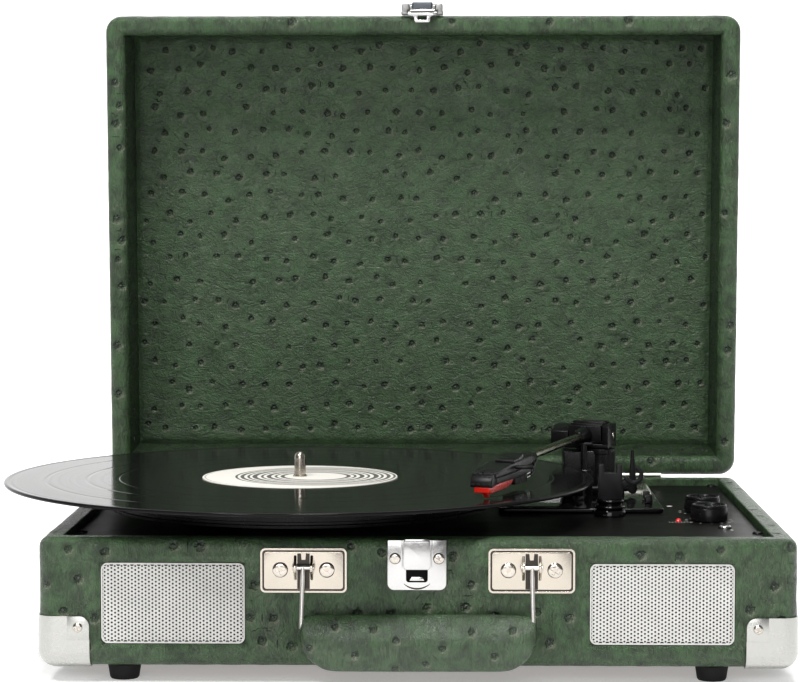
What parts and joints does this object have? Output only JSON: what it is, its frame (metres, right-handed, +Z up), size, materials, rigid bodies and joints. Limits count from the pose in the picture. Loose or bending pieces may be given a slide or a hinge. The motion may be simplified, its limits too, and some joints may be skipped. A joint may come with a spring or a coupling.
{
  "type": "suitcase record player",
  "caption": "Portable record player in a covered carrying case, with an opening lid, belt-driven platter, pivoted tonearm, front speakers and a padded carrying handle.",
  "frame": {"origin": "on the surface the feet stand on, under the middle of the whole object, with its lid open and its record in place", "axes": "+X to the right seen from the front, +Y to the back where the lid is hinged, +Z up"},
  "size_m": [0.3912, 0.343, 0.3347],
  "materials": {
    "covering": "embossed green covering with raised quill bumps",
    "lining": "the same covering, a little darker, inside the lid",
    "deck": "fine matt black",
    "black_plastic": "satin moulded black",
    "gloss_black": "polished moulded black",
    "vinyl": "glossy pressed black with fine grooves",
    "label_paper": "uncoated off-white",
    "nickel": "warm nickel plate",
    "chrome": "bright plate",
    "cap_metal": "satin pressed sheet",
    "grille_metal": "light grey punched sheet",
    "steel": "drawn, slightly olive",
    "rubber": "matt black",
    "red_plastic": "bright red moulding",
    "board": "green circuit board",
    "panel": "dark fibreboard",
    "led_lens": "clear red lens"
  },
  "bodies": {
    "case": {"arm_base": "gloss_black", "arm_rest": "gloss_black", "base_shell": "covering", "bottom_panel": "panel", "control_board": "board", "corner_cap_front_left": "cap_metal", "corner_cap_front_right": "cap_metal", "corner_cap_rear_left": "cap_metal", "corner_cap_rear_right": "cap_metal", "deck_plate": "deck", "drive_belt": "rubber", "foot_front_left": "rubber", "foot_front_right": "rubber", "foot_rear_left": "rubber", "foot_rear_right": "rubber", "grille_left": "grille_metal", "grille_right": "grille_metal", "handle_plate_left": "nickel", "handle_plate_right": "nickel", "headphone_jack": "chrome", "hinge_leaf_base_left": "steel", "hinge_leaf_base_right": "steel", "latch_plate": "chrome", "motor": "steel", "pivot_tower": "black_plastic", "platter_bearing": "steel", "power_inlet": "steel", "power_led": "led_lens", "rear_jack_panel": "black_plastic", "speaker_left": "black_plastic", "speaker_right": "black_plastic"},
    "lid": {"lid_shell": "covering", "lid_lining": "lining", "lid_latch_plate": "chrome", "hinge_leaf_lid_left": "steel", "hinge_leaf_lid_right": "steel"},
    "hasp": {"lid_hasp": "chrome"},
    "latch_catch": {"latch_catch": "chrome"},
    "handle": {"handle_grip": "covering", "hanger_left": "nickel", "hanger_right": "nickel"},
    "turntable": {"spindle": "chrome", "platter": "black_plastic", "platter_mat": "rubber", "record": "vinyl", "record_label": "label_paper"},
    "pulley": {"motor_pulley": "steel"},
    "rest_clip": {"rest_clip": "black_plastic"},
    "cue_lever": {"cue_lever": "black_plastic"},
    "lift_platform": {"lift_platform": "black_plastic"},
    "arm_pivot": {"arm_yoke": "black_plastic"},
    "tonearm": {"arm_head": "black_plastic", "arm_tube": "steel", "headshell": "black_plastic", "cartridge": "black_plastic", "stylus": "red_plastic"},
    "volume_knob": {"volume_knob": "black_plastic"},
    "pitch_knob": {"pitch_knob": "black_plastic"},
    "speed_switch": {"speed_switch": "black_plastic"},
    "autostop_switch": {"autostop_switch": "black_plastic"}
  },
  "joints": [
    {"name": "lid_hinge", "type": "hinge", "parent": "case", "child": "lid", "pos_m": [0.0167, 0.1232, 0.0698], "axis": [1, 0, 0], "range_deg": [0, 16]},
    {"name": "hasp_hinge", "type": "hinge", "parent": "lid", "child": "hasp", "pos_m": [0.0166, 0.10748, 0.33203], "axis": [-1, 0, 0], "range_deg": [0, 100]},
    {"name": "latch_slide", "type": "slide", "parent": "case", "child": "latch_catch", "axis": [0, 0, -1], "range_m": [0, 0.004], "stiffness_N_per_m": 300, "springref_m": -0.002},
    {"name": "handle_swing", "type": "hinge", "parent": "case", "child": "handle", "pos_m": [0.0169, -0.1398, 0.0558], "axis": [-1, 0, 0], "range_deg": [0, 95]},
    {"name": "platter_spin", "type": "hinge", "parent": "case", "child": "turntable", "pos_m": [-0.0448, -0.0206, 0.078], "axis": [0, 0, -1], "continuous": true},
    {"name": "pulley_spin", "type": "hinge", "parent": "case", "child": "pulley", "pos_m": [-0.1042, 0.0388, 0.07], "axis": [0, 0, -1], "continuous": true},
    {"name": "rest_clip_hinge", "type": "hinge", "parent": "case", "child": "rest_clip", "pos_m": [0.1182, -0.0155, 0.079], "axis": [0, -1, 0], "range_deg": [0, 70]},
    {"name": "cue_lever_hinge", "type": "hinge", "parent": "case", "child": "cue_lever", "pos_m": [0.1293, 0.0434, 0.0714], "axis": [-1, 0, 0], "range_deg": [0, 70]},
    {"name": "lift_platform_slide", "type": "slide", "parent": "case", "child": "lift_platform", "axis": [0, 0, 1], "range_m": [0, 0.00105]},
    {"name": "tonearm_swing", "type": "hinge", "parent": "case", "child": "arm_pivot", "pos_m": [0.1072, 0.0604, 0.092], "axis": [0, 0, -1], "range_deg": [-23, 23.5]},
    {"name": "tonearm_lift", "type": "hinge", "parent": "arm_pivot", "child": "tonearm", "pos_m": [0.10818, 0.06324, 0.099], "axis": [-0.9455, 0.3256, 0], "range_deg": [0, 3]},
    {"name": "volume_turn", "type": "hinge", "parent": "case", "child": "volume_knob", "pos_m": [0.1631, -0.0381, 0.068], "axis": [0, 0, -1], "range_deg": [0, 280]},
    {"name": "pitch_turn", "type": "hinge", "parent": "case", "child": "pitch_knob", "pos_m": [0.1631, -0.0036, 0.068], "axis": [0, 0, -1], "range_deg": [-135, 135]},
    {"name": "speed_slide", "type": "slide", "parent": "case", "child": "speed_switch", "axis": [0, 1, 0], "range_m": [-0.004, 0.004]},
    {"name": "autostop_slide", "type": "slide", "parent": "case", "child": "autostop_switch", "axis": [0, 1, 0], "range_m": [0, 0.004]}
  ],
  "couplings": [
    {"joint": "pulley_spin", "follows": "platter_spin", "ratio": 12.4},
    {"joint": "lift_platform_slide", "follows": "cue_lever_hinge", "m_per_rad": 0.00084307},
    {"joint": "tonearm_lift", "follows": "cue_lever_hinge", "ratio": 0.042837}
  ]
}
